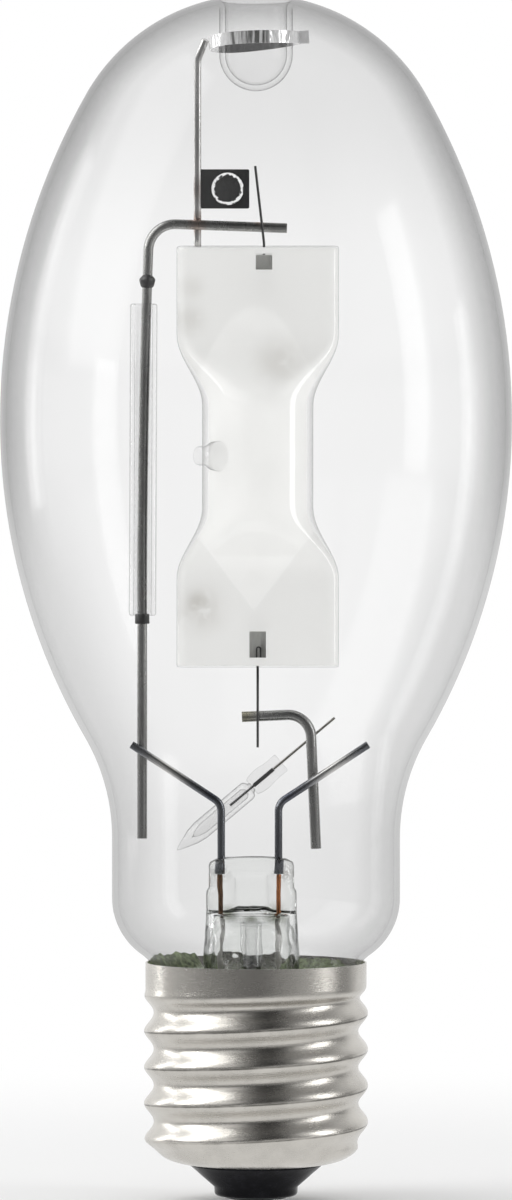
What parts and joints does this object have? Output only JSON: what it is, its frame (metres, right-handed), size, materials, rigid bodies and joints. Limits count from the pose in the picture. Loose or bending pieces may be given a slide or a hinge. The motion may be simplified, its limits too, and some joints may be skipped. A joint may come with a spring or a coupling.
{
  "type": "metal halide lamp",
  "caption": "Clear metal halide lamp with a dimpled elliptical bulb, a wire frame, a pinched quartz arc tube, a starter capsule and a mogul screw base.",
  "frame": {"origin": "on the lamp's axis, on the flat of the solder under the centre contact", "axes": "+Z runs from the centre contact to the dome; +X is to the right and +Y is away when the arc tube's broad side is seen from the front"},
  "size_m": [0.0898, 0.0898, 0.211],
  "materials": {
    "bulb_glass": "clear",
    "stem_glass": "clear",
    "quartz": "frosted",
    "clear_quartz": "clear",
    "steel_wire": "polished",
    "dark_metal": "satin",
    "strap_steel": "polished",
    "seal_copper": "satin",
    "base_nickel": "satin",
    "black_glass": "glossy",
    "cement": "matte",
    "solder": "satin"
  },
  "bodies": {
    "root": {"outer_bulb": "bulb_glass", "stem": "stem_glass", "exhaust_tube": "stem_glass", "left_support_lead": "steel_wire", "right_support_lead": "steel_wire", "left_seal_wire": "seal_copper", "right_seal_wire": "seal_copper", "shell_lead_wire": "steel_wire", "contact_lead_wire": "steel_wire", "frame_rod": "steel_wire", "rod_sleeve": "clear_quartz", "sleeve_bead": "dark_metal", "sleeve_collar": "dark_metal", "top_support_wire": "steel_wire", "dome_strap": "strap_steel", "getter_plate": "dark_metal", "getter_pellet": "dark_metal", "return_rod": "steel_wire", "arc_tube": "quartz", "top_foil": "dark_metal", "bottom_foil": "dark_metal", "top_lead_wire": "dark_metal", "bottom_lead_wire": "dark_metal", "top_electrode": "dark_metal", "bottom_electrode": "dark_metal", "starter_capsule": "clear_quartz", "starter_electrode": "dark_metal", "starter_wire": "dark_metal", "base_cement": "cement", "base_shell": "base_nickel", "base_insulator": "black_glass", "centre_contact": "base_nickel", "contact_solder": "solder"}
  },
  "joints": []
}
